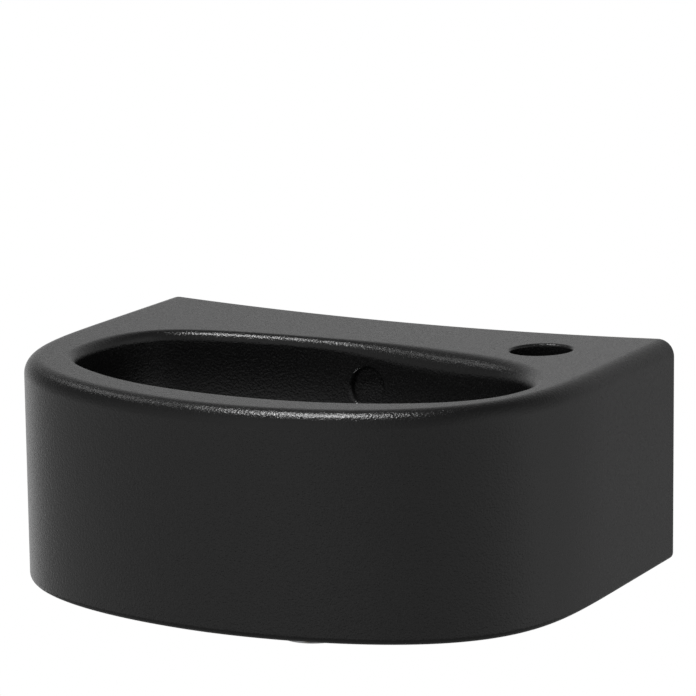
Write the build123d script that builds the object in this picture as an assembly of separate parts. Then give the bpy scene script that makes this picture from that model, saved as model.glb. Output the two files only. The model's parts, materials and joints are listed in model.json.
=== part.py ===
from build123d import *
# Wall-hung hand basin in matt black vitreous china, with a slotted push-push (click) waste fitted in it.
#
# Frame: origin midway between the two wall-fixing holes, on the wall plane. +Z up, +Y into the wall,
# so the bowed front faces -Y and +X is on the user's right. Millimetres.
# Heights written "h_..." are measured up from the basin's bottom edge; heights written "f_..." are
# measured up from the underside of the waste flange. Both are turned into row Z by zb() and zf().
import math
import os

import numpy as np

# ----------------------------------------------------------------------------- basin, driving dimensions
W = 330.0              # overall width
D = 250.0              # projection from the wall at the middle of the bowed front
H = 128.0              # height of the rim at its ends
SAG = 4.0              # how far the rim dips in the middle of the width
RISE = 0.9             # how much higher the rim is at the front than at the wall
SIDE_STRAIGHT = 59.9   # where the formula of the bowed front starts, from the wall
BOW_X, BOW_Y = 1.869, 4.459   # exponents of the bowed front
R_TOP = 10.0           # rounding of the outer top edge
R_BACK_TOP = 1.6       # rounding of the top edge that meets the wall
R_BOTTOM = 4.0         # rounding of the bottom outer edge
R_LIP = 6.0            # rounding of the bowl's lip
LIP_EXTRA, LIP_AT, LIP_SPAN = 6.0, 50.0, 75.0   # the lip is wider at the right rear: by how much, where, over what angle
T_SKIRT = 10.0         # skirt wall
T_BACK = 12.0          # wall-side panel
T_DECK = 13.0          # deck round the bowl
T_BOWL = 8.5           # bowl shell
FIX_SPACING = 150.0    # wall-fixing holes, centre to centre
FIX_R = 7.5
H_FIX = 88.0           # height of the wall-fixing holes
TAP_X, TAP_Y, TAP_R = 104.0, -48.0, 17.5
R_TAP_EDGE = 1.6
AX, AY = 4.0, -135.0   # waste axis
HOLE_R = 23.0          # waste hole
H_SEAT = 46.5          # seat of the waste flange
SEAT_R = 33.0          # recess for the flange, at its seat
RECESS_R = 35.2        # and at the bowl's floor
H_FLOOR = 53.0         # bowl floor beside the recess
H_BOSS = 10.0          # underside of the waste boss
BOSS_R = 36.0
OVF_X, OVF_H, OVF_R = 4.4, 99.3, 10.5    # overflow hole
R_OVF = 2.0
DUCT_W, DUCT_T = 26.0, 12.0   # overflow duct, inside
DUCT_WALL = 7.0

# outline of the bowl's opening at the rim: where the lip starts to round over
OPENING = [(-20.0, -59.6), (-61.0, -64.5), (-96.0, -74.0), (-121.0, -90.0), (-132.5, -111.0), (-136.3, -132.0),
           (-136.3, -150.0), (-133.0, -167.5), (-125.5, -182.0), (-113.7, -193.5), (-98.0, -203.0), (-80.0, -211.0),
           (-61.0, -216.7), (-36.0, -220.8), (0.0, -222.9), (38.0, -221.0), (71.0, -215.0), (95.4, -207.3),
           (113.0, -199.4), (128.8, -188.2), (138.7, -175.5), (144.4, -161.0), (146.6, -147.0), (144.3, -131.0),
           (136.5, -115.0), (125.0, -99.0), (112.0, -87.3), (96.0, -77.7), (70.0, -68.6), (41.0, -62.0), (10.0, -58.6)]

# ----------------------------------------------------------------------------- waste, driving dimensions
Z_FLANGE = H_SEAT + 1.5       # underside of the flange above the basin's bottom edge, on its gasket
FL_R, FL_T = 31.75, 5.5       # flange
BODY_R = 20.6                 # plain upper body
THREAD_R = 20.955             # G 1 1/4 thread, outside
THREAD_MID_R = 20.2155        # G 1 1/4 thread at its pitch diameter, where the backnut engages it
NUT_BOT = 50.5                # underside of the backnut, below the flange
BORE_R = 17.5
PLAIN_L, BODY_L = 27.3, 77.0
SLOT_TOP, SLOT_H, SLOT_W = -15.0, 9.6, 24.4
CAP_R, CAP_EDGE, CAP_RISE = 33.75, 1.4, 6.2
CAP_GAP = 0.3                 # closed gap between cap edge and flange rim
STROKE = 9.0                  # plug travel, closed to open
BAR_R, BAR_BORE = 5.6, 4.7
F_BAR_BOT, F_BAR_TOP = -50.0, -1.0


def zb(h):
    """Row Z of a height above the basin's bottom edge."""
    return h - H_FIX


def zf(f):
    """Row Z of a height above the waste flange's underside."""
    return Z_FLANGE + f - H_FIX


def rim(x, y=0.0):
    """Row Z of the rim's top surface at x, y."""
    return zb(H - SAG * (1 - (2 * x / W) ** 2)) - RISE * y / D


# ----------------------------------------------------------------------------- plan curves
def front_points(inset, n=31, y_start=-104.0):
    """Points of the bowed front from the right side round to the left, with the outline taken in by inset."""
    w, d = W / 2 - inset, D - SIDE_STRAIGHT - inset
    big = []
    for t in np.linspace(0.0, math.pi, 4001):
        c, s = math.cos(t), math.sin(t)
        big.append((math.copysign(w * abs(c) ** (2 / BOW_X), c), -SIDE_STRAIGHT - d * abs(s) ** (2 / BOW_Y)))
    big = np.array([p for p in big if p[1] <= y_start - 6])
    run = np.concatenate([[0], np.cumsum(np.hypot(*np.diff(big, axis=0).T))])
    pick = np.linspace(0, run[-1], n)
    pts = [(float(np.interp(q, run, big[:, 0])), float(np.interp(q, run, big[:, 1]))) for q in pick]
    return [(w, y_start)] + pts + [(-w, y_start)]


def outline(inset, back):
    """Closed plan face of the basin, taken in by inset at the sides and front and by back at the wall."""
    pts = front_points(inset)
    (x0, y0), (x1, y1) = pts[0], pts[-1]
    edges = [Line((x1, -back), (x0, -back)), Line((x0, -back), (x0, y0)),
             Spline(*pts, tangents=[(0, -1), (0, 1)]), Line((x1, y1), (x1, -back))]
    return make_face(Curve() + edges)


def closed(points, n):
    """n points evenly spaced along the smooth closed curve through points."""
    e = Edge.make_spline([Vector(x, y, 0) for x, y in points], periodic=True)
    return np.array([[(e @ (i / n)).X, (e @ (i / n)).Y] for i in range(n)])


def inset_curve(base, d):
    """The closed curve base (dense, evenly spaced) moved inward by d and, at the right rear, by the lip's extra."""
    t = np.roll(base, -1, 0) - np.roll(base, 1, 0)
    t /= np.hypot(t[:, 0], t[:, 1])[:, None]
    n = np.stack([-t[:, 1], t[:, 0]], 1)
    if np.dot(n[0], np.array([AX, AY]) - base[0]) < 0:
        n = -n
    u = np.arctan2(base[:, 1] - AY, base[:, 0] - AX) - math.radians(LIP_AT)
    u = (u + math.pi) % (2 * math.pi) - math.pi
    extra = LIP_EXTRA * np.cos(np.clip(u / math.radians(LIP_SPAN), -1, 1) * math.pi / 2) ** 2
    return base + n * (d + extra)[:, None]


N_SEC = 48
THETA = [2 * math.pi * i / N_SEC + 1.25 * math.pi for i in range(N_SEC)]
BASE = closed(OPENING, 1440)
WALL_INSET = 16.5      # how far the bowl's wall leans in before the floor begins


def section(inset, blend, radius, h):
    """Closed wire of a bowl section: the opening taken in by inset, blended towards a circle round the waste."""
    p = inset_curve(BASE, inset)
    a = np.arctan2(p[:, 1] - AY, p[:, 0] - AX)
    r = np.hypot(p[:, 1] - AY, p[:, 0] - AX)
    rad = (1 - blend) * np.interp(THETA, a, r, period=2 * math.pi) + blend * radius
    pts = [Vector(AX + float(q * math.cos(t)), AY + float(q * math.sin(t)), zb(h)) for q, t in zip(rad, THETA)]
    return Wire([Edge.make_spline(pts, periodic=True, parameters=[t - THETA[0] for t in THETA] + [2 * math.pi])])


def bowl_form(extra, h_top, h_floor):
    """The bowl's inner form, grown outwards by extra."""
    e, d = extra, h_floor - H_FLOOR
    rows = [(R_LIP - e, 0.0, 0, h_top), (R_LIP + 1.5 - e, 0.0, 0, 99 + d * 0.25), (WALL_INSET - e, 0.0, 0, 70 + d * 0.6),
            (WALL_INSET - e, 0.42, 36 + e * 0.6, 56.2 + d * 0.95), (WALL_INSET - e, 1.0, 36 + e * 0.6, h_floor)]
    return Solid.make_loft([section(*r) for r in rows])


# ----------------------------------------------------------------------------- small tools
def yz_prism(points, width, x_mid):
    """Polygon of (y, height above the bottom edge), extruded along X about x_mid."""
    w = Wire.make_polygon([Vector(x_mid - width / 2, y, zb(h)) for y, h in points], close=True)
    return Solid.extrude(Face(w), Vector(width, 0, 0))


def turned(start, *steps):
    """Solid of revolution about the waste axis. A step is (r, f), a line, or ((rm, fm), (r, f)), an arc."""
    edges, here = [], start

    def v(p):
        return Vector(AX + p[0], AY, zf(p[1]))
    for s in steps + (start,):
        if isinstance(s[0], tuple):
            edges.append(Edge.make_three_point_arc(v(here), v(s[0]), v(s[1])))
            here = s[1]
        else:
            if math.dist(here, s) > 1e-9:
                edges.append(Edge.make_line(v(here), v(s)))
            here = s
    f = Face(Wire(edges))
    return Solid.revolve(f, 360, Axis((AX, AY, 0), (0, 0, 1)))


def tube(r_out, r_in, f0, f1):
    s = turned((r_in, f0), (r_out, f0), (r_out, f1), (r_in, f1))
    return s


def at_axis(shape, f=0.0, ang=0.0):
    """Place a shape modelled about its own Z axis on the waste axis."""
    return Pos(AX, AY, zf(f)) * Rot(0, 0, ang) * shape


def save(shape, name):
    sols = shape.solids() if hasattr(shape, "solids") else [shape]
    out = sols[0] if len(sols) == 1 else Compound(children=list(sols))
    out.label = name
    export_step(out, "parts/" + name + ".step")
    print(name, "solids", len(sols), "valid", all(s.is_valid for s in sols), "cm3", round(sum(s.volume for s in sols) / 1000, 3))


# ----------------------------------------------------------------------------- basin
def make_basin():
    r_sag = ((W / 2) ** 2 + SAG ** 2) / (2 * SAG)
    blank = extrude(outline(0, 0), H + 6).moved(Location((0, 0, zb(0)))).solid()
    hw, lift = W / 2 + 20, H - SAG - RISE * 30 / D

    def profile(x, h):
        return Vector(x, 30, zb(lift + h))
    low = r_sag - math.sqrt(r_sag ** 2 - hw ** 2)
    above = Wire([Edge.make_three_point_arc(profile(-hw, low), profile(0, 0), profile(hw, low)),
                  Edge.make_line(profile(hw, low), profile(hw, low + 40)),
                  Edge.make_line(profile(hw, low + 40), profile(-hw, low + 40)),
                  Edge.make_line(profile(-hw, low + 40), profile(-hw, low))])
    above = Solid.extrude(Face(above), Vector(0, -D - 60, RISE * (D + 60) / D))
    b = (blank - above).solid()

    def top_edges(s):
        return [e for e in s.edges() if e.bounding_box().min.Z > zb(H - SAG - 1)]
    soft = [e for e in top_edges(b) if e.center().Y < -2]
    b = b.fillet(R_TOP, soft)
    back = [e for e in b.edges() if abs(e.center().Y) < 0.01 and e.center().Z > zb(H - 20)
            and e.bounding_box().size.X > 100]
    b = b.fillet(R_BACK_TOP, back)
    foot = [e for e in b.edges() if e.bounding_box().max.Z < zb(0) + 0.01 and e.center().Y < -2]
    b = b.fillet(R_BOTTOM, foot)
    recess = Pos(AX, AY, (zb(H_SEAT) + zb(H_FLOOR)) / 2) * Cone(SEAT_R, RECESS_R, H_FLOOR - H_SEAT)
    b = (b - (bowl_form(0, H + 6, H_FLOOR) + recess)).solid()
    lip = [e for e in b.edges() if e.bounding_box().min.Z > zb(H - SAG - 1) and e.bounding_box().size.X > 200
           and e.bounding_box().size.Y > 100 and e.bounding_box().size.X < 300]
    b = b.fillet(R_LIP, lip)

    shell = bowl_form(T_BOWL, H - SAG - 6, H_FLOOR - T_BOWL)
    cav = extrude(outline(T_SKIRT, T_BACK), H - SAG - T_DECK + 20).moved(Location((0, 0, zb(-20)))).solid()
    inner = [e for e in cav.edges() if e.bounding_box().min.Z > zb(H - SAG - T_DECK) - 0.01]
    cav = cav.fillet(7.0, inner)
    cav = cav - shell
    boss = (Pos(AX, AY, (zb(H_BOSS) + zb(H_FLOOR)) / 2) * Cylinder(BOSS_R, H_FLOOR - H_BOSS)).solid()
    boss = boss.fillet(2.0, [e for e in boss.edges() if e.center().Z < zb(H_BOSS + 1)])
    w = DUCT_WALL
    casing = yz_prism([(-120, 20 - w), (-77, 20 - w), (-45 + w, 51), (-45 + w, 120), (-70, 120), (-90, 50),
                       (-120, 50)], DUCT_W + 2 * w, AX)
    casing = casing.fillet(5.0, [e for e in casing.edges() if e.bounding_box().size.X < 0.01
                                 and e.center().Y > AY + 30 and (e.center().Z < zb(17) or e.center().Y > -58)])
    cav = cav - boss - casing
    duct = yz_prism([(-120, 20), (-80, 20), (-45, 54), (-45, 113), (-57, 113), (-58, 97), (-65.5, 72), (-76, 52),
                     (-90, 42), (-102, 36), (-120, 36)], DUCT_W, AX)
    tools = list(cav.solids()) + list(duct.solids())
    tools.append(Pos(AX, AY, zb(H_SEAT) - 40) * Cylinder(HOLE_R, 80.02))
    tools.append(Pos(OVF_X, -66, zb(OVF_H)) * Rot(90, 0, 0) * Cylinder(OVF_R, 26))
    tools.append(Pos(TAP_X, TAP_Y, zb(H - 10)) * Cylinder(TAP_R, 60))
    for s in (-1, 1):
        tools.append(Pos(s * FIX_SPACING / 2, -T_BACK / 2, 0) * Rot(90, 0, 0) * Cylinder(FIX_R, T_BACK * 3))
    for t in tools:
        b = (b - t).solid()
    # soften the edges of the tap hole and of the overflow hole
    def mid(e):
        return e.bounding_box().center()
    for pick, r in ((lambda m: abs(m.X - TAP_X) < 1 and abs(m.Y - TAP_Y) < 1 and m.Z > zb(H - SAG - 2), R_TAP_EDGE),
                    (lambda m: abs(m.X - OVF_X) < 2 and abs(m.Z - zb(OVF_H)) < 2 and -80 < m.Y < -60, R_OVF)):
        ed = [e for e in b.edges() if pick(mid(e))]
        b = b.fillet(r, ed)
    return b


# ----------------------------------------------------------------------------- waste
def make_waste_body():
    b = turned((BORE_R, -BODY_L), (THREAD_R - 1.0, -BODY_L), (THREAD_R, -BODY_L + 1.0), (THREAD_R, -NUT_BOT - 0.5),
               (THREAD_MID_R, -NUT_BOT - 0.5), (THREAD_MID_R, -PLAIN_L), (BODY_R, -PLAIN_L), (BODY_R, 0.0), (FL_R - 3.0, 0.0),
               ((FL_R - 0.88, 0.88), (FL_R, 3.0)), (FL_R, FL_T - 0.5), (FL_R - 0.5, FL_T),
               (28.4, FL_T), (21.0, 0.6), (BORE_R, -3.2))
    cut = at_axis(Box(SLOT_W, 60, SLOT_H), SLOT_TOP - SLOT_H / 2)
    b = b - cut
    hub = tube(8.5, BAR_R + 0.03, -42.0, -32.0)
    arms = None
    for k in range(3):
        a = at_axis(Pos((8.0 + BORE_R + 0.6) / 2, 0, 0) * Box(BORE_R + 0.6 - 8.0, 3.2, 7.0), -37.5, 90 + 120 * k)
        b = b + a
    b = b + hub
    return b


def make_barrel():
    b = turned((BAR_BORE, F_BAR_BOT), (BAR_R - 0.5, F_BAR_BOT), (BAR_R, F_BAR_BOT + 0.5), (BAR_R, -32.0), (7.6, -32.0),
               (7.6, -29.8), (BAR_R, -29.8), (BAR_R, -1.5), (BAR_BORE, -1.5))
    return b


def teeth(f0, f1, ang):
    out = None
    for k in range(8):
        t = at_axis(Pos(3.35, 0, 0) * Box(2.0, 0.9, f1 - f0), (f0 + f1) / 2, ang + 45 * k)
        out = t if out is None else out + t
    return out


def make_spring(r_mean=3.75, wire=0.36, f0=-46.0, f1=-25.4, turns=7.5):
    lo, hi = f0 + wire, f1 - wire
    path = Helix((hi - lo) / turns, hi - lo, r_mean)
    p = Pos(AX, AY, zf(lo)) * path
    prof = Plane(origin=p @ 0, z_dir=p % 0) * Circle(wire)
    return sweep(prof, path=p, is_frenet=True)


def make_all():
    os.makedirs("parts", exist_ok=True)
    for old in os.listdir("parts"):
        if old.endswith(".step"):
            os.remove("parts/" + old)
    save(make_basin(), "basin")
    save(make_waste_body(), "waste_body")
    save(tube(30.75, 21.2, -1.5, 0.0), "flange_gasket")
    save(turned((21.15, -45.0), (28.6, -45.0), (29.6, -44.4), (33.75, -39.0), (33.75, -38.3), (33.45, -38.0),
                (32.2, -38.0), (26.0, -41.0), (21.15, -41.4)), "conical_washer")
    save(turned((THREAD_MID_R + 0.05, -NUT_BOT), (28.6, -NUT_BOT), (29.25, -49.9), (29.25, -48.4), (28.75, -47.75), (29.25, -47.1),
                (29.25, -45.6), (28.6, -45.0), (THREAD_MID_R + 0.05, -45.0)), "backnut")
    cap_b, cap_e = FL_T + CAP_GAP, FL_T + CAP_GAP + CAP_EDGE
    rs = (CAP_R ** 2 + CAP_RISE ** 2) / (2 * CAP_RISE)

    def dome(r, drop=0.0):
        return cap_e + CAP_RISE - drop - (rs - math.sqrt(rs ** 2 - r ** 2))
    save(turned((0.0, dome(0)), ((18.0, dome(18.0)), (CAP_R - 0.3, dome(CAP_R - 0.3))), (CAP_R, cap_e - 0.35),
                (CAP_R, cap_b + 0.3), (CAP_R - 0.3, cap_b), (31.9, cap_b), (31.2, dome(31.2, 1.6)),
                ((20.0, dome(20.0, 1.6)), (8.0, dome(8.0, 1.6))), (8.0, 6.35), (4.03, 6.35), (4.03, 11.0), (0.0, 11.0)),
         "plug_cap")
    save(turned((21.66, 2.34), (23.0, 2.34), (25.6, 4.05), (25.6, 5.46), (21.66, 5.46)), "plug_seal")
    save(turned((4.05, 3.4), (17.0, 3.4), (17.0, 1.7), (21.9, 1.7), (21.9, 2.3), (21.6, 2.3), (21.6, 5.5), (24.6, 5.5),
                (24.6, 6.35), (4.05, 6.35)), "seal_carrier")
    stud = turned((3.03, 0.4), (6.5, 0.4), (6.5, 3.4), (4.0, 3.4), (4.0, 10.6), (0.0, 10.6), (0.0, 5.6), (3.03, 5.6))
    save(stud, "plug_stud")
    rod = turned((0.0, -27.6), (1.6, -27.6), (1.9, -27.3), (1.9, -26.0), (1.45, -26.0), (1.45, -25.2), (1.9, -25.2),
                 (1.9, -19.5), (4.55, -19.5), (4.55, -16.1), (3.0, -16.1), (3.0, 5.2), (2.7, 5.5), (0.0, 5.5))
    save(rod + teeth(-20.1, -19.4, 22.5), "plunger_rod")
    save(tube(4.5, 1.95, -25.1, -21.0) + teeth(-21.1, -20.4, 0.0), "ratchet_rotor")
    save(tube(3.0, 1.5, -25.95, -25.25) - at_axis(Pos(2.2, 0, 0) * Box(3.0, 2.0, 2.0), -25.6), "rotor_clip")
    save(make_spring(), "cartridge_spring")
    save(make_barrel(), "cartridge_barrel")
    save(turned((3.06, -5.0), (4.66, -5.0), (4.66, -1.5), (5.5, -1.5), (5.5, -0.4), (3.06, -0.4)), "rod_guide")
    save(turned((3.06, -6.6), (3.4, -6.95), (4.1, -6.95), (4.62, -6.4), (4.62, -5.55), (4.1, -5.02), (3.4, -5.02),
                (3.06, -5.4)), "rod_seal")
    save(tube(4.66, 1.5, -50.0, -46.0) - at_axis(Box(12.0, 1.4, 1.6), -50.0), "end_cap")
    nut = at_axis(extrude(RegularPolygon(8.5, 6, major_radius=False), 4.4), -46.5) \
        - at_axis(Cylinder(BAR_R + 0.03, 20.0), -44.0)
    save(nut, "barrel_locknut")


make_all()
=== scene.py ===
"""Looks of a matt black wall-hung hand basin with its push-push waste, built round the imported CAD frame."""
import json
import math

import bmesh
import bpy
import numpy as np
from mathutils import Matrix, Vector
from mathutils.geometry import delaunay_2d_cdt

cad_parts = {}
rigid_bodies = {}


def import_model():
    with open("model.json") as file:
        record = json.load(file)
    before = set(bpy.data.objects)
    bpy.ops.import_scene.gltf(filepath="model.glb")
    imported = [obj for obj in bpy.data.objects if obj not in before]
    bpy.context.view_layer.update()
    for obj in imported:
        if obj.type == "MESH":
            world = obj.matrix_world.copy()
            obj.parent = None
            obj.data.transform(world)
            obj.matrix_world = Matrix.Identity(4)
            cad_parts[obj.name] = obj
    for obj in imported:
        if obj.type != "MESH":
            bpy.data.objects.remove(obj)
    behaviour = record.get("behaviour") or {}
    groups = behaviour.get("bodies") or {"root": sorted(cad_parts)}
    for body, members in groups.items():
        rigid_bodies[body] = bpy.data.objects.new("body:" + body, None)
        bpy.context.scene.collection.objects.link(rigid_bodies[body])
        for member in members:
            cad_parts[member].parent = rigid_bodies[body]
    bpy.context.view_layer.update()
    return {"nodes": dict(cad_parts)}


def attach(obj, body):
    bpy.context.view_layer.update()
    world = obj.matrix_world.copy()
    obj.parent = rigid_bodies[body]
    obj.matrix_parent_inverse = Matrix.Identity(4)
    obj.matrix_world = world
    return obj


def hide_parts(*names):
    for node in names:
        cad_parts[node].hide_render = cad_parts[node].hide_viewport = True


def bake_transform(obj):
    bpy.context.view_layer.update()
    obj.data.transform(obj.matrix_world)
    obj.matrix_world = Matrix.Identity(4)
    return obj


for old in list(bpy.data.objects):
    bpy.data.objects.remove(old)
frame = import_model()
MM = 0.001

# ----------------------------------------------------------------------------- basin, millimetres, as in the CAD
W, D, H, SAG, RISE = 330.0, 250.0, 128.0, 4.0, 0.9
SIDE_STRAIGHT, BOW_X, BOW_Y = 59.9, 1.869, 4.459
R_TOP, R_BACK, R_FOOT, R_LIP = 10.0, 1.6, 4.0, 6.0
LIP_EXTRA, LIP_AT, LIP_SPAN = 6.0, 50.0, 75.0
T_SKIRT, T_BACK, T_DECK, T_BOWL = 10.0, 12.0, 13.0, 8.5
FIX_X, FIX_R, H_FIX = 75.0, 7.5, 88.0
TAP_X, TAP_Y, TAP_R, R_TAP = 104.0, -48.0, 17.5, 1.7
AX, AY = 4.0, -135.0
HOLE_R, H_SEAT, SEAT_R, RECESS_R, H_FLOOR, FLOOR_R = 23.0, 46.5, 33.0, 35.2, 53.0, 36.0
H_BOSS, BOSS_R = 10.0, 36.0
OVF_X, OVF_H, OVF_R, R_OVF = 4.4, 99.3, 10.5, 2.0
TOP_Z = 0.03993         # the frame's highest point, in metres
H_UNDER = H - SAG - T_DECK
OPENING = [(-20.0, -59.6), (-61.0, -64.5), (-96.0, -74.0), (-121.0, -90.0), (-132.5, -111.0), (-136.3, -132.0),
           (-136.3, -150.0), (-133.0, -167.5), (-125.5, -182.0), (-113.7, -193.5), (-98.0, -203.0), (-80.0, -211.0),
           (-61.0, -216.7), (-36.0, -220.8), (0.0, -222.9), (38.0, -221.0), (71.0, -215.0), (95.4, -207.3),
           (113.0, -199.4), (128.8, -188.2), (138.7, -175.5), (144.4, -161.0), (146.6, -147.0), (144.3, -131.0),
           (136.5, -115.0), (125.0, -99.0), (112.0, -87.3), (96.0, -77.7), (70.0, -68.6), (41.0, -62.0), (10.0, -58.6)]
Z_FLANGE = H_SEAT + 1.5


def zb(h):
    return h - H_FIX


def rim(x, y):
    return zb(H - SAG * (1 - (2 * np.asarray(x, float) / W) ** 2)) - RISE * np.asarray(y, float) / D


# ----------------------------------------------------------------------------- mesh building
class Build:
    """Collects faces over shared points, in millimetres, and makes a Blender mesh of them."""

    def __init__(self):
        self.v, self.f, self.n = [], [], 0

    def add(self, pts):
        pts = np.asarray(pts, float).reshape(-1, 3)
        self.v.append(pts)
        self.n += len(pts)
        return self.n - len(pts)

    def strip(self, rows, closed):
        """rows: list of equal-length point lists; quads between neighbouring rows."""
        rows = np.asarray(rows, float)
        r, c = rows.shape[:2]
        k = self.add(rows)
        last = c if closed else c - 1
        for i in range(r - 1):
            for j in range(last):
                a, b = k + i * c + j, k + i * c + (j + 1) % c
                self.f.append((a, b, b + c, a + c))

    def tris(self, pts, tri):
        k = self.add(pts)
        self.f += [tuple(k + int(i) for i in t) for t in tri]

    def mesh(self, name, weld=0.004):
        bm = bmesh.new()
        vs = [bm.verts.new(p) for p in np.concatenate(self.v)]
        for f in self.f:
            if len(set(f)) >= 3:
                try:
                    bm.faces.new([vs[i] for i in f])
                except ValueError:
                    pass
        bmesh.ops.remove_doubles(bm, verts=bm.verts, dist=weld)
        bmesh.ops.dissolve_degenerate(bm, dist=weld / 2, edges=bm.edges)
        bmesh.ops.recalc_face_normals(bm, faces=bm.faces)
        loose = sum(1 for e in bm.edges if not e.is_manifold)
        if loose:
            print("open edges in", name, loose)
            for e in [e for e in bm.edges if not e.is_manifold][:6]:
                print("   ", [tuple(round(q, 3) for q in v.co) for v in e.verts])
        bmesh.ops.scale(bm, vec=(MM, MM, MM), verts=bm.verts)
        me = bpy.data.meshes.new(name)
        bm.to_mesh(me)
        bm.free()
        return me


def inside(pts, loop):
    """Which of the points lie inside the closed loop."""
    x, y = pts[:, 0][:, None], pts[:, 1][:, None]
    a, b = loop, np.roll(loop, -1, 0)
    hit = ((a[:, 1] > y) != (b[:, 1] > y)) & (
        x < (b[:, 0] - a[:, 0]) * (y - a[:, 1]) / np.where(b[:, 1] == a[:, 1], 1e-12, b[:, 1] - a[:, 1]) + a[:, 0])
    return (hit.sum(1) % 2) == 1


def nearest(pts, loop):
    out = np.full(len(pts), 1e9)
    for i in range(0, len(loop), 64):
        out = np.minimum(out, np.hypot(pts[:, None, 0] - loop[None, i:i + 64, 0],
                                       pts[:, None, 1] - loop[None, i:i + 64, 1]).min(1))
    return out


def fill(outer, holes, step, gap=0.75, extra=None):
    """Triangles over the flat region inside outer and outside the holes, with inner points about step apart."""
    lo, hi = outer.min(0), outer.max(0)
    gx, gy = np.arange(lo[0] + step / 2, hi[0], step), np.arange(lo[1] + step / 2, hi[1], step * 0.866)
    p = np.array([(x + (step / 2 if j % 2 else 0), y) for j, y in enumerate(gy) for x in gx])
    if extra is not None:
        p = extra
    keep = inside(p, outer) & (nearest(p, outer) > step * gap)
    for h in holes:
        keep &= ~inside(p, h) & (nearest(p, h) > step * gap)
    p = p[keep]
    loops = [outer] + list(holes)
    allp = np.concatenate(loops + [p])
    edges, k = [], 0
    for lp in loops:
        edges += [(k + i, k + (i + 1) % len(lp)) for i in range(len(lp))]
        k += len(lp)
    vs, _, fs, *_ = delaunay_2d_cdt([Vector((float(a), float(b))) for a, b in allp], edges, [], 0, 1e-7)
    v = np.array([(q.x, q.y) for q in vs])
    f = np.array([t for t in fs if len(t) == 3])
    c = v[f].mean(1)
    ok = inside(c, outer)
    for h in holes:
        ok &= ~inside(c, h)
    return v, f[ok]


# ----------------------------------------------------------------------------- plan curves
def resample(p, n, closed=False):
    if closed:
        p = np.vstack([p, p[:1]])
    s = np.concatenate([[0], np.cumsum(np.hypot(*np.diff(p, axis=0).T))])
    t = np.linspace(0, s[-1], n + 1)[:-1] if closed else np.linspace(0, s[-1], n)
    return np.stack([np.interp(t, s, p[:, 0]), np.interp(t, s, p[:, 1])], 1)


def curve_through(points, n):
    """Smooth closed curve through the points (periodic cubic by chord length), n points evenly spaced."""
    p = np.asarray(points, float)
    m = len(p)
    h = np.hypot(*(np.roll(p, -1, 0) - p).T)
    a = np.zeros((m, m))
    r = np.zeros((m, 2))
    for i in range(m):
        hp, hn = h[i - 1], h[i]
        a[i, i - 1] += hp
        a[i, i] += 2 * (hp + hn)
        a[i, (i + 1) % m] += hn
        r[i] = 6 * ((p[(i + 1) % m] - p[i]) / hn - (p[i] - p[i - 1]) / hp)
    c = np.linalg.solve(a, r)
    out = []
    for i in range(m):
        j, t = (i + 1) % m, np.linspace(0, h[i], 200, endpoint=False)[:, None]
        u = h[i] - t
        out.append(c[i] * u ** 3 / (6 * h[i]) + c[j] * t ** 3 / (6 * h[i]) + (p[i] / h[i] - c[i] * h[i] / 6) * u
                   + (p[j] / h[i] - c[j] * h[i] / 6) * t)
    return resample(np.concatenate(out), n, closed=True)


BASE = curve_through(OPENING, 2880)
N_BOWL = 384
TH = 2 * math.pi * np.arange(N_BOWL) / N_BOWL


def offset_closed(base, d):
    t = np.roll(base, -3, 0) - np.roll(base, 3, 0)
    t /= np.hypot(t[:, 0], t[:, 1])[:, None]
    n = np.stack([-t[:, 1], t[:, 0]], 1)
    if np.dot(n[0], np.array([AX, AY]) - base[0]) < 0:
        n = -n
    return base + n * np.broadcast_to(d, len(base))[:, None]


def lip_extra(a):
    """How much wider than R_LIP the lip's rounding is at polar angle a round the waste axis."""
    u = (a - math.radians(LIP_AT) + math.pi) % (2 * math.pi) - math.pi
    return LIP_EXTRA * np.cos(np.clip(u / math.radians(LIP_SPAN), -1, 1) * math.pi / 2) ** 2


BASE_EXTRA = lip_extra(np.arctan2(BASE[:, 1] - AY, BASE[:, 0] - AX))


def polar(inset, th=TH, lip=1.0):
    """Distance of the bowl's plan curve, taken in by inset and the lip's extra, from the waste axis at each angle."""
    p = offset_closed(BASE, inset + lip * BASE_EXTRA)
    a = np.arctan2(p[:, 1] - AY, p[:, 0] - AX)
    r = np.hypot(p[:, 1] - AY, p[:, 0] - AX)
    return np.interp(th, a, r, period=2 * math.pi)


def ring(r, th=TH):
    return np.stack([AX + r * np.cos(th), AY + r * np.sin(th)], 1)


def outer_half():
    """The outline's right half, from the back corner to the middle of the front."""
    u = np.linspace(0, 1, 4000)
    t = np.unique(np.concatenate([np.arcsin(u ** (BOW_Y / 2)), np.linspace(0, math.pi / 2, 4000)]))
    x = W / 2 * np.cos(t) ** (2 / BOW_X)
    y = -SIDE_STRAIGHT - (D - SIDE_STRAIGHT) * np.sin(t) ** (2 / BOW_Y)
    return np.vstack([[(W / 2, 0.0)], np.stack([x, y], 1)])


N_SIDE = 132
HALF = resample(outer_half(), N_SIDE + 1)


def outline(inset, back=0.0):
    """Side and front outline from the back right corner round to the back left one, taken in by inset."""
    p = HALF.copy()
    t = np.gradient(p, axis=0)
    t[0] = (0, -1)
    t[-1] = (-1, 0)
    t /= np.hypot(t[:, 0], t[:, 1])[:, None]
    n = np.stack([t[:, 1], -t[:, 0]], 1)
    p = p + n * inset
    p[0] = (W / 2 - inset, -back)
    m = p[:-1].copy()
    m[:, 0] *= -1
    out = np.vstack([p, m[::-1]])
    y = out[:, 1]
    out[:, 1] = np.minimum(y, -back)
    return out


def back_line(inset, back, n):
    """Points along the back from the left corner to the right one, without the corners."""
    x = np.linspace(-(W / 2 - inset), W / 2 - inset, n + 2)[1:-1]
    return np.stack([x, np.full(n, -back)], 1)


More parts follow.
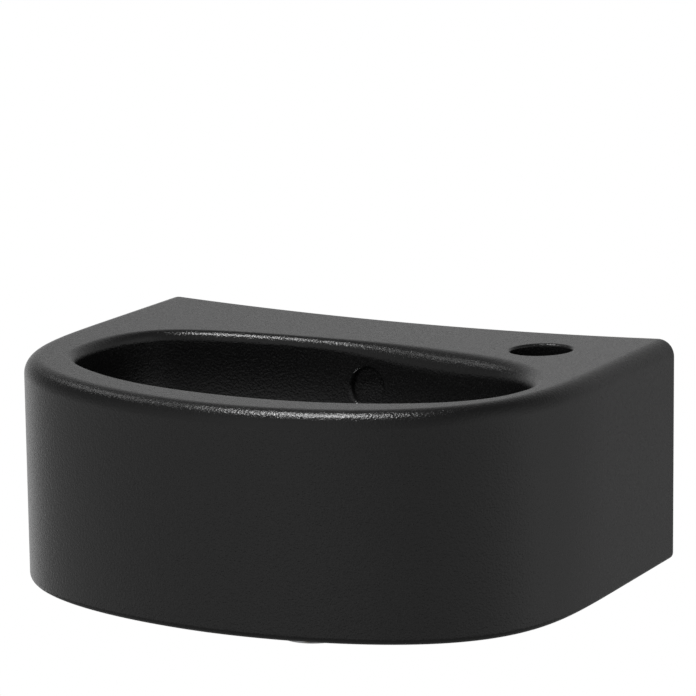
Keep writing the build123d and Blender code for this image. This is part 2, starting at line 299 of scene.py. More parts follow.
def circle(cx, cy, r, n):
    a = 2 * math.pi * np.arange(n) / n
    return np.stack([cx + r * np.cos(a), cy + r * np.sin(a)], 1)


# ----------------------------------------------------------------------------- bowl profile
def wall_inset(h):
    t = np.clip((118.0 - h) / 47.0, 0, None)
    return R_LIP + 10.5 * t ** 2.6


def wall_slope(h):
    t = max(0.0, (118.0 - h) / 47.0)
    return 10.5 * 2.6 * t ** 1.6 / 47.0


def floor_path(rw, n=22):
    """For one direction with the wall's foot at distance rw: distances and heights down to the flat round the waste."""
    m = wall_slope(71.0)
    k = math.hypot(1, m)
    p0, p3 = np.array([rw, 71.0]), np.array([FLOOR_R, H_FLOOR])
    l0 = 13.5
    p1 = p0 + l0 * np.array([-m, -1.0]) / k
    l1 = 0.52 * (rw - FLOOR_R)
    p2 = p3 + l1 * np.array([1.0, 0.035])
    t = np.linspace(0, 1, n)[:, None]
    p = (1 - t) ** 3 * p0 + 3 * (1 - t) ** 2 * t * p1 + 3 * (1 - t) * t ** 2 * p2 + t ** 3 * p3
    d = 3 * (1 - t) ** 2 * (p1 - p0) + 6 * (1 - t) * t * (p2 - p1) + 3 * t ** 2 * (p3 - p2)
    return p, d


def bowl_rows():
    """Rows of points of the bowl's inside, from the deck down to the edge of the waste recess."""
    rows = []
    steps = 12
    for k in range(steps + 1):
        a = k / steps * math.pi / 2
        q = ring(polar(R_LIP * math.sin(a), lip=math.sin(a)))
        rows.append(np.column_stack([q, rim(q[:, 0], q[:, 1]) - (R_LIP + lip_extra(TH)) * (1 - math.cos(a))]))
    q = ring(polar(R_LIP))
    top = rim(q[:, 0], q[:, 1]) - R_LIP - lip_extra(TH)
    for f in (0.5,):
        rows.append(np.column_stack([q, top + (zb(112.4) - top) * f]))
    for h in np.arange(112.4, 71.5, -2.5):
        q = ring(polar(float(wall_inset(h))))
        rows.append(np.column_stack([q, np.full(N_BOWL, zb(h))]))
    rw = polar(16.5)
    cols = [floor_path(r) for r in rw]
    for i in range(0 if rows[-1][0, 2] > zb(71.0) + 0.2 else 1, 22):
        q = ring(np.array([c[0][i, 0] for c in cols]))
        rows.append(np.column_stack([q, [zb(c[0][i, 1]) for c in cols]]))
    return rows, cols


def disc_rows(path):
    """Rows for a path of (distance, height) that is the same all round the waste."""
    return [np.column_stack([ring(np.full(N_BOWL, r)), np.full(N_BOWL, zb(h))]) for r, h in path]


def arc(c, r, a0, a1, n):
    return [(c[0] + r * math.cos(math.radians(a0 + (a1 - a0) * i / n)),
             c[1] + r * math.sin(math.radians(a0 + (a1 - a0) * i / n))) for i in range(n + 1)]


def shell_rows(cols):
    """Rows of the bowl's underside, from the boss up to the underside of the deck."""
    rows = []
    t = T_BOWL
    # under the floor: the inner path moved out by the shell's thickness
    pts = []
    for p, d in cols:
        k = np.hypot(d[:, 0], d[:, 1])[:, None]
        n = np.stack([-d[:, 1], d[:, 0]], 1) / k
        pts.append(p + n * t)
    a = np.array(pts)                     # columns x samples x (distance, height)
    a = a[:, ::-1]
    start = BOSS_R + 4.0
    res = []
    for c in a:
        ok = c[:, 0] > start + 1.0
        first = np.argmax(ok)
        q = c[first:]
        s = np.concatenate([[0], np.cumsum(np.hypot(*np.diff(q, axis=0).T))])
        u = np.linspace(0, s[-1], 18)
        res.append(np.stack([np.interp(u, s, q[:, 0]), np.interp(u, s, q[:, 1])], 1))
    res = np.array(res)
    # fillet from the boss side to the first shell row
    y1 = res[:, 0, 1]
    r1 = res[:, 0, 0]
    for f in np.linspace(0, 1, 7)[:-1]:
        ang = f * math.pi / 2
        rr = BOSS_R + (r1 - BOSS_R) * (1 - math.cos(ang))
        hh = (y1 - 4.5) + 4.5 * math.sin(ang)
        rows.append(np.column_stack([ring(rr), zb(hh)]))
    for i in range(res.shape[1]):
        rows.append(np.column_stack([ring(res[:, i, 0]), zb(res[:, i, 1])]))
    last = res[:, -1]
    hs = np.linspace(73.0, H_UNDER, 15)
    for h in hs:
        m = wall_slope(h)
        k = math.hypot(1, m)
        q = ring(polar(float(wall_inset(h)) - t / k))
        z = zb(h) - t * m / k
        if h == hs[-1]:
            z = zb(H_UNDER)
        if z > rows[-1][:, 2].max() + 0.6:
            rows.append(np.column_stack([q, np.full(N_BOWL, z)]))
    return rows


# ----------------------------------------------------------------------------- the whole casting
def make_basin():
    b = Build()
    # outside: top rounding, wall, foot rounding
    rows = []
    for k in range(15):
        a = k / 14 * math.pi / 2
        q = outline(R_TOP * (1 - math.sin(a)), R_BACK)
        rows.append(np.column_stack([q, rim(q[:, 0], q[:, 1]) - R_TOP * (1 - math.cos(a))]))
    q = outline(0.0, R_BACK)
    z0, z1 = rim(q[:, 0], q[:, 1]) - R_TOP, zb(R_FOOT)
    for f in np.linspace(0, 1, 15)[1:-1]:
        rows.append(np.column_stack([q, z0 + (z1 - z0) * f]))
    for k in range(8):
        a = k / 7 * math.pi / 2
        q = outline(R_FOOT * (1 - math.cos(a)), R_BACK)
        rows.append(np.column_stack([q, np.full(len(q), zb(R_FOOT) - R_FOOT * math.sin(a))]))
    b.strip(rows, closed=False)
    outside = rows

    # deck
    deck_in = ring(polar(0.0, lip=0.0))
    tap = circle(TAP_X, TAP_Y, TAP_R + R_TAP, 96)
    edge = outside[0][:, :2]
    nb = 88
    back = back_line(R_TOP, R_BACK, nb)
    v, f = fill(np.vstack([edge, back]), [deck_in, tap], 4.0)
    b.tris(np.column_stack([v, rim(v[:, 0], v[:, 1])]), f)

    # back edges, rounded, and the back face, drawn in (x, z)
    side_r = np.array([(r[0, 0], r[0, 2]) for r in outside])
    side_l = np.array([(r[-1, 0], r[-1, 2]) for r in outside])
    top = np.column_stack([back[:, 0], rim(back[:, 0], back[:, 1])])
    xb = np.linspace(W / 2 - R_FOOT, -(W / 2 - R_FOOT), nb + 2)[1:-1]
    bottom = np.column_stack([xb, np.full(nb, zb(0))])
    loop = np.vstack([top, side_r, bottom, side_l[::-1]])
    tan = np.roll(loop, -1, 0) - np.roll(loop, 1, 0)
    tan /= np.hypot(tan[:, 0], tan[:, 1])[:, None]
    inward = np.stack([tan[:, 1], -tan[:, 0]], 1)
    rows = []
    for k in range(6):
        a = k / 5 * math.pi / 2
        q = loop + inward * R_BACK * (1 - math.cos(a))
        rows.append(np.column_stack([q[:, 0], np.full(len(q), -R_BACK * (1 - math.sin(a))), q[:, 1]]))
    b.strip(rows, closed=True)
    v, f = fill(rows[-1][:, [0, 2]], [], 5.0)
    b.tris(np.column_stack([v[:, 0], np.zeros(len(v)), v[:, 1]]), f)

    # foot
    foot_out = np.vstack([outside[-1][:, :2], np.column_stack([xb[::-1], np.full(nb, -R_BACK)])])
    inner0 = np.vstack([outline(T_SKIRT, T_BACK), back_line(T_SKIRT, T_BACK, nb)])
    v, f = fill(foot_out, [inner0], 3.0)
    b.tris(np.column_stack([v, np.full(len(v), zb(0))]), f)

    # inside of the skirt, up to the underside of the deck
    rows = []
    r_in = 1.2

    def loop_at(i):
        return np.vstack([outline(T_SKIRT + i, T_BACK + i), back_line(T_SKIRT + i, T_BACK + i, nb)])
    for h in np.linspace(0, H_UNDER - r_in, 15):
        rows.append(np.column_stack([loop_at(0), np.full(len(inner0), zb(h))]))
    for k in range(1, 9):
        a = k / 8 * math.pi / 2
        rows.append(np.column_stack([loop_at(r_in * (1 - math.cos(a))),
                                     np.full(len(inner0), zb(H_UNDER - r_in + r_in * math.sin(a)))]))
    b.strip(rows, closed=True)
    inner_top = rows[-1][:, :2]

    # bowl, recess, waste hole, boss and shell
    rows, cols = bowl_rows()
    ovf = rows
    path = [(RECESS_R + 0.9, H_FLOOR)] + arc((RECESS_R + 0.55, H_FLOOR - 0.9), 0.9, 95, 165, 4) \
        + [(SEAT_R + 0.9, H_SEAT + 2.6), (SEAT_R + 0.35, H_SEAT + 0.8)] \
        + arc((SEAT_R - 0.5, H_SEAT + 0.8), 0.8, 0, -90, 4) \
        + [(30.0, H_SEAT), (26.5, H_SEAT), (HOLE_R + 0.6, H_SEAT)] + arc((HOLE_R + 0.6, H_SEAT - 0.6), 0.6, 90, 180, 3)[1:]
    rec = disc_rows(path)
    hole = disc_rows([(HOLE_R, h) for h in (42.0, 36.0, 30.0, 24.0, 18.0, 12.0, H_BOSS + 0.8)]
                     + arc((HOLE_R + 0.8, H_BOSS + 0.8), 0.8, 180, 270, 3)[1:]
                     + [(28.0, H_BOSS), (BOSS_R - 2.0, H_BOSS)] + arc((BOSS_R - 2.0, H_BOSS + 2.0), 2.0, -90, 0, 5)[1:]
                     + [(BOSS_R, h) for h in (18.0, 25.0, 32.0)])
    shell = shell_rows(cols)

    # the patch of wall round the overflow hole
    z_of = np.array([r[0, 2] if np.ptp(r[:, 2]) < 1e-6 else 1e9 for r in ovf])
    r0 = int(np.argmin(np.abs(z_of - zb(112.4))))
    r1 = int(np.argmin(np.abs(z_of - zb(84.9))))
    c0 = int(np.argmin(np.abs(TH - math.radians(90 - 16))))
    c1 = int(np.argmin(np.abs(TH - math.radians(90 + 16))))
    grid = np.array(ovf)
    r, c = grid.shape[:2]
    k = b.add(grid)
    for i in range(r - 1):
        for j in range(c):
            if r0 <= i < r1 and c0 <= j < c1:
                continue
            a0, a1 = k + i * c + j, k + i * c + (j + 1) % c
            b.f.append((a0, a1, a1 + c, a0 + c))
    sub = grid[r0:r1 + 1, c0:c1 + 1]
    border = np.vstack([sub[0, :], sub[1:, -1], sub[-1, :-1][::-1], sub[1:-1, 0][::-1]])

    def wall_y(x, z):
        """The wall's y at (x, z), between the rows either side."""
        out = np.zeros(len(x))
        zs = sub[:, 0, 2]
        for n_, (xx, zz) in enumerate(zip(x, z)):
            i = int(np.clip(np.searchsorted(-zs, -zz) - 1, 0, len(zs) - 2))
            t = (zs[i] - zz) / (zs[i] - zs[i + 1])
            ya = np.interp(xx, sub[i, ::-1, 0], sub[i, ::-1, 1])
            yb = np.interp(xx, sub[i + 1, ::-1, 0], sub[i + 1, ::-1, 1])
            out[n_] = ya + (yb - ya) * t
        return out
    zc = zb(OVF_H)
    ro = OVF_R + R_OVF
    hole2 = circle(OVF_X, zc, ro, 96)
    inner_pts = sub[1:-1, 1:-1].reshape(-1, 3)[:, [0, 2]]
    bl = border[:, [0, 2]]
    v, f = fill(bl, [hole2], 2.2, gap=0.5, extra=inner_pts)
    key = {(round(p[0], 4), round(p[2], 4)): p[1] for p in border}
    y = wall_y(v[:, 0], v[:, 1])
    for n_, p in enumerate(v):
        q = key.get((round(p[0], 4), round(p[1], 4)))
        if q is not None:
            y[n_] = q
    b.tris(np.column_stack([v[:, 0], y, v[:, 1]]), f)
    lips = []
    for s in range(9):
        a = s / 8 * math.pi / 2
        q = circle(OVF_X, zc, ro - R_OVF * math.sin(a), 96)
        lips.append(np.column_stack([q[:, 0], wall_y(q[:, 0], q[:, 1]) + R_OVF * (1 - math.cos(a)), q[:, 1]]))
    y_end = -59.4
    base_y = lips[-1][:, 1]
    for fr in (0.5, 1.0):
        q = circle(OVF_X, zc, OVF_R, 96)
        lips.append(np.column_stack([q[:, 0], base_y + (y_end - base_y) * fr, q[:, 1]]))
    for rr in (6.0, 2.0):
        q = circle(OVF_X, zc, rr, 96)
        lips.append(np.column_stack([q[:, 0], np.full(96, y_end), q[:, 1]]))
    b.strip(lips, closed=True)
    k = b.add(lips[-1])
    b.f.append(tuple(range(k, k + 96)))

    low = [ovf[-1]] + rec + hole + shell
    b.strip(low, closed=True)

    # tap hole
    rows = []
    for s in range(7):
        a = s / 6 * math.pi / 2
        q = circle(TAP_X, TAP_Y, TAP_R + R_TAP * (1 - math.sin(a)), 96)
        rows.append(np.column_stack([q, rim(q[:, 0], q[:, 1]) - R_TAP * (1 - math.cos(a))]))
    q = circle(TAP_X, TAP_Y, TAP_R, 96)
    top = rim(q[:, 0], q[:, 1]) - R_TAP
    for fr in (0.33, 0.67, 1.0):
        rows.append(np.column_stack([q, top + (zb(H_UNDER + 0.8) - top) * fr]))
    for s in range(1, 4):
        a = s / 3 * math.pi / 2
        q2 = circle(TAP_X, TAP_Y, TAP_R + 0.8 * (1 - math.cos(a)), 96)
        rows.append(np.column_stack([q2, np.full(96, zb(H_UNDER + 0.8) - 0.8 * math.sin(a))]))
    b.strip(rows, closed=True)

    # underside of the deck
    v, f = fill(inner_top, [shell[-1][:, :2], rows[-1][:, :2]], 5.0)
    b.tris(np.column_stack([v, np.full(len(v), zb(H_UNDER))]), f)
    return b.mesh("basin_casting")




# ----------------------------------------------------------------------------- objects
def put(me, name, mats, body, nodes=(), smooth=30.0):
    """Links the mesh as a piece on a body, standing for CAD nodes, with smooth shading that keeps flat faces flat."""
    o = bpy.data.objects.new(name, me)
    bpy.context.scene.collection.objects.link(o)
    me.materials.clear()
    for m in (mats if isinstance(mats, (list, tuple)) else [mats]):
        me.materials.append(m)
    me.shade_smooth()
    me.set_sharp_from_angle(angle=math.radians(smooth))
    w = o.modifiers.new("weighted", "WEIGHTED_NORMAL")
    w.mode = "FACE_AREA"
    w.weight = 50
    w.keep_sharp = True
    apply(o)
    if body:
        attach(o, body)
    if nodes:
        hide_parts(*nodes)
    return o


def apply(o):
    """Makes the object's modifiers part of its mesh."""
    bpy.context.view_layer.update()
    dg = bpy.context.evaluated_depsgraph_get()
    me = bpy.data.meshes.new_from_object(o.evaluated_get(dg), preserve_all_data_layers=True, depsgraph=dg)
    old = o.data
    o.modifiers.clear()
    o.data = me
    me.name = old.name
    bpy.data.meshes.remove(old)


def cut(me, other, op="DIFFERENCE"):
    """A mesh with the closed mesh other taken away from it, or joined to it."""
    a = bpy.data.objects.new("a", me)
    c = bpy.data.objects.new("c", other)
    for o in (a, c):
        bpy.context.scene.collection.objects.link(o)
    m = a.modifiers.new("b", "BOOLEAN")
    m.operation, m.object = op, c
    m.solver = "MANIFOLD"
    bpy.context.view_layer.update()
    dg = bpy.context.evaluated_depsgraph_get()
    out = bpy.data.meshes.new_from_object(a.evaluated_get(dg))
    if abs(len(out.polygons) - len(me.polygons)) < 1 or not len(out.polygons):
        m.solver = "EXACT"
        dg = bpy.context.evaluated_depsgraph_get()
        out = bpy.data.meshes.new_from_object(a.evaluated_get(dg))
        print("exact boolean for", me.name)
    out.name = me.name
    for o in (a, c):
        bpy.data.objects.remove(o)
    bpy.data.meshes.remove(me)
    bpy.data.meshes.remove(other)
    return out


def rounded(points, steps=4):
    """Points (x, y, radius) of a polygon, with the corners of a radius rounded."""
    out, n = [], len(points)
    for i, (x, y, r) in enumerate(points):
        p = np.array([x, y], float)
        if r <= 0:
            out.append(p)
            continue
        a = np.array(points[i - 1][:2], float) - p
        c = np.array(points[(i + 1) % n][:2], float) - p
        la, lc = np.hypot(*a), np.hypot(*c)
        a, c = a / la, c / lc
        half = math.acos(max(-1.0, min(1.0, float(a @ c)))) / 2
        t = min(r / math.tan(half), la * 0.49, lc * 0.49)
        rr = t * math.tan(half)
        m = (a + c) / np.hypot(*(a + c))
        o = p + m * rr / math.sin(half)
        s, e = p + a * t - o, p + c * t - o
        a0, a1 = math.atan2(s[1], s[0]), math.atan2(e[1], e[0])
        d = (a1 - a0 + math.pi) % (2 * math.pi) - math.pi
        k = max(2, int(round(steps * abs(d) / (math.pi / 2))) + 1)
        out += [o + rr * np.array([math.cos(a0 + d * j / k), math.sin(a0 + d * j / k)]) for j in range(k + 1)]
    return out


def zf(f):
    return zb(Z_FLANGE + f)


def lathe(name, path, n=160, closed=True):
    """Turns a path of (radius, f) round the waste axis. A closed path makes a ring; points on the axis close a plug."""
    b = Build()
    a = 2 * math.pi * np.arange(n) / n
    rows = [np.column_stack([AX + r * np.cos(a), AY + r * np.sin(a), np.full(n, zf(f))]) for r, f in path]
    if closed:
        rows.append(rows[0])
    b.strip(rows, closed=True)
    return b.mesh(name, weld=0.002)


def prism(name, poly, lo, hi, bevel=0.0, axis="x"):
    """A closed prism of the polygon, (y, z) between two x, or (x, y) between two z, with its corners as given."""
    b = Build()
    p = np.asarray(poly, float)
    n = len(p)
    if axis == "x":
        rows = [np.column_stack([np.full(n, q), p[:, 0], p[:, 1]]) for q in (lo, hi)]
    else:
        rows = [np.column_stack([p, np.full(n, q)]) for q in (lo, hi)]
    k = b.add(np.vstack(rows))
    for i in range(n):
        j = (i + 1) % n
        b.f.append((k + i, k + j, k + n + j, k + n + i))
    b.f.append(tuple(range(k, k + n)))
    b.f.append(tuple(range(k + n, k + 2 * n)))
    me = b.mesh(name, weld=0.0005)
    if bevel:
        bm = bmesh.new()
        bm.from_mesh(me)
        bmesh.ops.bevel(bm, geom=list(bm.edges), offset=bevel * MM, segments=4, profile=0.5, affect="EDGES",
                        clamp_overlap=True)
        bmesh.ops.remove_doubles(bm, verts=bm.verts, dist=1e-6)
        bmesh.ops.recalc_face_normals(bm, faces=bm.faces)
        bm.to_mesh(me)
        bm.free()
    return me


def pipe(name, cx, cy, cz, r, lo, hi, axis="y", n=96):
    """A closed cylinder along y or z."""
    b = Build()
    a = 2 * math.pi * np.arange(n) / n
    rows = []
    for q in (lo, hi):
        if axis == "y":
            rows.append(np.column_stack([cx + r * np.cos(a), np.full(n, q), cz + r * np.sin(a)]))
        else:
            rows.append(np.column_stack([cx + r * np.cos(a), cy + r * np.sin(a), np.full(n, q)]))
    b.strip(rows, closed=True)
    b.f.append(tuple(range(n)))
    b.f.append(tuple(range(n, 2 * n)))
    return b.mesh(name, weld=0.0005)


# ----------------------------------------------------------------------------- materials
class Mat:
    """A principled material with noise on its roughness, colour and grain."""

    def __init__(self, name, base, rough, metallic=0.0, ior=1.5):
        self.m = bpy.data.materials.new(name)
        self.m.use_nodes = True
        self.t = self.m.node_tree
        self.t.nodes.clear()
        self.out = self.t.nodes.new("ShaderNodeOutputMaterial")
        self.p = self.t.nodes.new("ShaderNodeBsdfPrincipled")
        self.t.links.new(self.p.outputs[0], self.out.inputs[0])
        self.p.inputs["Base Color"].default_value = (*base, 1)
        self.p.inputs["Roughness"].default_value = rough
        self.p.inputs["Metallic"].default_value = metallic
        self.p.inputs["IOR"].default_value = ior
        self.m.diffuse_color = (*base, 1)
        self.co = self.t.nodes.new("ShaderNodeTexCoord").outputs["Object"]

    def node(self, kind, **inputs):
        n = self.t.nodes.new(kind)
        for k, v in inputs.items():
            n.inputs[k.replace("_", " ")].default_value = v
        return n

    def noise(self, scale, detail=2.0, rough=0.5, stretch=None):
        n = self.node("ShaderNodeTexNoise", Scale=scale, Detail=detail, Roughness=rough)
        co = self.co
        if stretch:
            mp = self.t.nodes.new("ShaderNodeMapping")
            mp.inputs["Scale"].default_value = stretch
            self.t.links.new(self.co, mp.inputs["Vector"])
            co = mp.outputs[0]
        self.t.links.new(co, n.inputs["Vector"])
        return n.outputs[0]

    def ramp(self, fac, lo, hi, a=0.3, b=0.7):
        r = self.t.nodes.new("ShaderNodeMapRange")
        for k, v in (("From Min", a), ("From Max", b), ("To Min", lo), ("To Max", hi)):
            r.inputs[k].default_value = v
        self.t.links.new(fac, r.inputs["Value"])
        return r.outputs[0]

    def tint(self, fac, a, b, lo=0.3, hi=0.7):
        r = self.t.nodes.new("ShaderNodeValToRGB")
        r.color_ramp.elements[0].position, r.color_ramp.elements[1].position = lo, hi
        r.color_ramp.elements[0].color, r.color_ramp.elements[1].color = (*a, 1), (*b, 1)
        self.t.links.new(fac, r.inputs[0])
        self.t.links.new(r.outputs[0], self.p.inputs["Base Color"])

    def rough(self, fac, lo, hi):
        self.t.links.new(self.ramp(fac, lo, hi), self.p.inputs["Roughness"])

    def bump(self, *parts):
        """Each part is (height socket, depth in metres, strength)."""
        last = None
        for h, depth, strength in parts:
            n = self.node("ShaderNodeBump", Strength=strength, Distance=depth)
            self.t.links.new(h, n.inputs["Height"])
            if last is not None:
                self.t.links.new(last, n.inputs["Normal"])
            last = n.outputs[0]
        self.t.links.new(last, self.p.inputs["Normal"])


def glaze():
    m = Mat("matt_black_glaze", (0.0080, 0.0080, 0.0082), 0.27)
    m.tint(m.noise(9.0, 3.0), (0.0072, 0.0072, 0.0074), (0.0090, 0.0090, 0.0091))
    m.rough(m.noise(900.0, 2.0, 0.6), 0.19, 0.30)
    m.bump((m.noise(800.0, 2.0, 0.6), 0.00030, 0.9), (m.noise(70.0, 2.0), 0.00012, 0.10))
    return m.m


def bisque():
    m = Mat("unglazed_china", (0.62, 0.59, 0.54), 0.92)
    m.tint(m.noise(22.0, 5.0, 0.6), (0.56, 0.53, 0.48), (0.68, 0.65, 0.60))
    m.bump((m.noise(1600.0, 4.0, 0.7), 0.00008, 0.6), (m.noise(160.0, 3.0), 0.0002, 0.2))
    return m.m


def chrome():
    m = Mat("chrome_plate", (0.80, 0.81, 0.82), 0.07, metallic=1.0)
    m.rough(m.noise(60.0, 4.0, 0.6), 0.045, 0.095)
    m.bump((m.noise(45.0, 2.0), 0.00004, 0.12))
    return m.m


def brass(name="brass_turned", rough=(0.20, 0.34)):
    m = Mat(name, (0.72, 0.50, 0.20), 0.27, metallic=1.0)
    m.tint(m.noise(35.0, 4.0, 0.6), (0.66, 0.45, 0.17), (0.78, 0.56, 0.24))
    m.rough(m.noise(120.0, 4.0, 0.6), *rough)
    m.bump((m.noise(40.0, 2.0, 0.5, stretch=(0.4, 0.4, 60.0)), 0.00003, 0.25))
    return m.m


def clear_pe():
    m = Mat("translucent_polyethylene", (0.86, 0.88, 0.88), 0.38)
    m.p.inputs["Transmission Weight"].default_value = 0.35
    m.p.inputs["Subsurface Weight"].default_value = 0.25
    m.p.inputs["Subsurface Radius"].default_value = (0.004, 0.004, 0.004)
    m.rough(m.noise(50.0, 3.0), 0.32, 0.45)
    m.bump((m.noise(500.0, 3.0), 0.00003, 0.2))
    return m.m


def white_rubber():
    m = Mat("soft_white_rubber", (0.80, 0.81, 0.80), 0.55)
    m.tint(m.noise(28.0, 3.0), (0.77, 0.78, 0.77), (0.83, 0.84, 0.83))
    m.p.inputs["Subsurface Weight"].default_value = 0.2
    m.p.inputs["Subsurface Radius"].default_value = (0.003, 0.003, 0.003)
    m.rough(m.noise(90.0, 3.0), 0.48, 0.62)
    m.bump((m.noise(700.0, 3.0), 0.00003, 0.25))
    return m.m


def dull(name, base, lo, hi, grain=800.0):
    m = Mat(name, base, (lo + hi) / 2)
    m.tint(m.noise(30.0, 3.0), tuple(c * 0.92 for c in base), tuple(min(1.0, c * 1.08) for c in base))
    m.rough(m.noise(110.0, 3.0), lo, hi)
    m.bump((m.noise(grain, 3.0), 0.00003, 0.25))
    return m.m


def spring_wire():
    m = Mat("drawn_spring_wire", (0.56, 0.57, 0.58), 0.3, metallic=1.0)
    m.rough(m.noise(200.0, 3.0), 0.22, 0.38)
    m.bump((m.noise(900.0, 2.0), 0.00001, 0.2))
    return m.m


GLAZE, BISQUE, CHROME, BRASS = glaze(), bisque(), chrome(), brass()
PE, RUBBER_W = clear_pe(), white_rubber()
RUBBER_B = dull("black_nitrile", (0.022, 0.022, 0.023), 0.5, 0.65)
ABS = dull("black_moulding", (0.035, 0.035, 0.037), 0.35, 0.5, 1200.0)
ACETAL = dull("white_acetal", (0.80, 0.80, 0.77), 0.3, 0.42, 1200.0)
WIRE = spring_wire()
# painted shade: the glaze inside the overflow duct gets about half the glaze's base colour, darker where little light
# gets in; it is rougher too
DUCT_PAINTED_SHADE = dull("overflow_duct_painted_shade", (0.004, 0.004, 0.0042), 0.35, 0.62, 900.0)


# ----------------------------------------------------------------------------- basin
def casing_poly():
    """The overflow casing's side view, (y, z): its upper edges run inside the bowl's wall."""
    th = math.pi / 2
    pts = []
    p, d = floor_path(float(polar(16.5, np.array([th]))[0]))
    k = np.hypot(d[:, 0], d[:, 1])[:, None]
    mid = p + np.stack([-d[:, 1], d[:, 0]], 1) / k * 4.6
    for r, h in mid[::-1]:
        if r > 40.0:
            pts.append((AY + r, h))
    for h in (80.0, 90.0, 100.0, 110.0, 117.0):
        r = float(polar(float(wall_inset(h)), np.array([th]))[0])
        pts.append((AY + r + 4.6, h))
    front = [(-106.0, 13.0), (-106.0, pts[0][1] - 1.0)]
    back = [(-38.0, 117.0), (-38.0, 51.0), (-77.0, 13.0)]
    return [(y, zb(h)) for y, h in front + pts + back]


def basin_piece():
    me = make_basin()
    me = cut(me, prism("casing", casing_poly(), AX - 20.0, AX + 20.0), "UNION")
    duct = [(-118.0, 20.0), (-80.0, 20.0), (-45.0, 54.0), (-45.0, 113.0), (-57.0, 113.0), (-58.0, 97.0), (-65.5, 72.0),
            (-76.0, 52.0), (-90.0, 42.0), (-102.0, 36.0), (-118.0, 36.0)]
    me = cut(me, prism("duct", [(y, zb(h)) for y, h in duct], AX - 13.0, AX + 13.0))
    me = cut(me, pipe("overflow", OVF_X, 0, zb(OVF_H), OVF_R - 0.05, -62.0, -50.0))
    for s in (-1, 1):
        me = cut(me, pipe("fixing", s * FIX_X, 0, 0, FIX_R, -20.0, 8.0))
    for v in me.vertices:
        v.co.z = min(v.co.z, TOP_Z)
    me.name = "basin_casting"
    o = put(me, "basin_casting", [GLAZE, BISQUE, DUCT_PAINTED_SHADE], "basin_set", ["basin"])
    idx = np.zeros(len(o.data.polygons), np.int32)
    for i, p in enumerate(o.data.polygons):
        c, n = p.center, p.normal
        if (n.y > 0.97 and c.y > -0.0003) or (n.z < -0.97 and c.z < zb(0.1) * MM):
            idx[i] = 1
        # slot 2: painted shade on the faces inside the overflow duct, behind the hole
        elif abs(c.x - AX * MM) < 0.0132 and -0.0594 < c.y < -0.0448 and zb(19.0) * MM < c.z < zb(113.2) * MM:
            idx[i] = 2
    o.data.polygons.foreach_set("material_index", idx)
    return o


# ----------------------------------------------------------------------------- waste
def dome_path():
    cap_b, cap_e, r_cap, rise = 5.8, 7.2, 33.75, 6.2
    rs = (r_cap ** 2 + rise ** 2) / (2 * rise)

    def z(r, drop=0.0):
        return cap_e + rise - drop - (rs - math.sqrt(rs ** 2 - r ** 2))
    top = [(r, z(r)) for r in np.linspace(0.0, r_cap - 0.9, 30)]
    edge = [(r_cap - 0.55, z(r_cap - 0.6) - 0.01), (r_cap - 0.2, cap_e - 0.12), (r_cap - 0.04, cap_e - 0.35),
            (r_cap, cap_e - 0.65), (r_cap, cap_b + 0.5), (r_cap - 0.07, cap_b + 0.22), (r_cap - 0.3, cap_b + 0.03),
            (r_cap - 0.6, cap_b)]
    under = [(32.1, cap_b), (31.8, cap_b + 0.15), (31.5, z(31.5, 1.6))]
    under += [(r, z(r, 1.6)) for r in np.linspace(30.5, 8.6, 20)] + [(8.0, z(8.0, 1.6) - 0.4), (8.0, 6.35), (4.03, 6.35), (4.03, 11.0), (0.0, 11.0)]
    return top + edge + under


def body_mesh():
    """The slotted tail with its flange, its helical thread and the spider that carries the cartridge."""
    pitch, n = 2.309, 192
    a = 2 * math.pi * np.arange(n) / n
    b = Build()

    def ring_at(r, f):
        return np.column_stack([AX + r * np.cos(a), AY + r * np.sin(a), np.full(n, zf(f))])
    rows = []
    crest, mid, amp = 20.93, 20.2155, 0.72
    for f in np.arange(-76.9, -27.35, pitch / 13):
        u = f / pitch - a / (2 * math.pi)
        s = np.arcsin(0.96 * np.sin(2 * math.pi * u)) / math.asin(0.96)
        top = np.clip((-27.3 - f) / 2.2, 0, 1)
        r = mid + amp * s
        r = r * top + (1 - top) * np.minimum(20.6, np.maximum(r, 20.4))
        chamfer = 19.7 + (f + 77.0) * 1.15
        rows.append(ring_at(np.minimum(r, chamfer), f))
    outer = [(20.6, -27.2), (20.6, -20.0), (20.6, -10.0), (20.6, -0.6), (20.66, -0.25), (20.85, -0.06), (21.2, 0.0)] \
        + FL_PATH
    for r, f in outer:
        rows.append(ring_at(np.full(n, r), f))
    rows.append(ring_at(np.full(n, 17.5), -76.6))
    rows.append(ring_at(np.full(n, 17.9), -77.0))
    rows.append(ring_at(np.full(n, 19.5), -77.0))
    rows.append(rows[0])
    b.strip(rows, closed=True)
    me = b.mesh("waste_tail", weld=0.0015)
    slot_mid, h = -15.0 - 4.8, 9.6
    x = 12.2
    poly = rounded([(AX - x, zf(slot_mid - h / 2), 0.5), (AX + x, zf(slot_mid - h / 2), 0.5),
                    (AX + x, zf(slot_mid + h / 2), 0.5), (AX - x, zf(slot_mid + h / 2), 0.5)])
    bb = Build()
    k = bb.add(np.vstack([[(p[0], AY - 30, p[1]) for p in poly], [(p[0], AY + 30, p[1]) for p in poly]]))
    m = len(poly)
    for i in range(m):
        bb.f.append((k + i, k + (i + 1) % m, k + m + (i + 1) % m, k + m + i))
    bb.f += [tuple(range(k, k + m)), tuple(range(k + m, k + 2 * m))]
    me = cut(me, bb.mesh("slot", weld=0.0005))
    for j in range(3):
        t = math.radians(90 + 120 * j)
        c, s = math.cos(t), math.sin(t)
        lo, hi, w = 7.2, 17.9, 1.6
        pts = [(AX + r * c - q * s, AY + r * s + q * c) for r, q in ((lo, -w), (hi, -w), (hi, w), (lo, w))]
        me = cut(me, prism("arm", pts, zf(-41.0), zf(-34.0), bevel=0.0, axis="z"), "UNION")
    hub = lathe("hub", rounded([(5.63, -42.0, 0.3), (8.5, -42.0, 0.5), (8.5, -32.0, 0.5), (5.63, -32.0, 0.3)]), n=72)
    me = cut(me, hub, "UNION")
    me.name = "waste_tail"
    return me


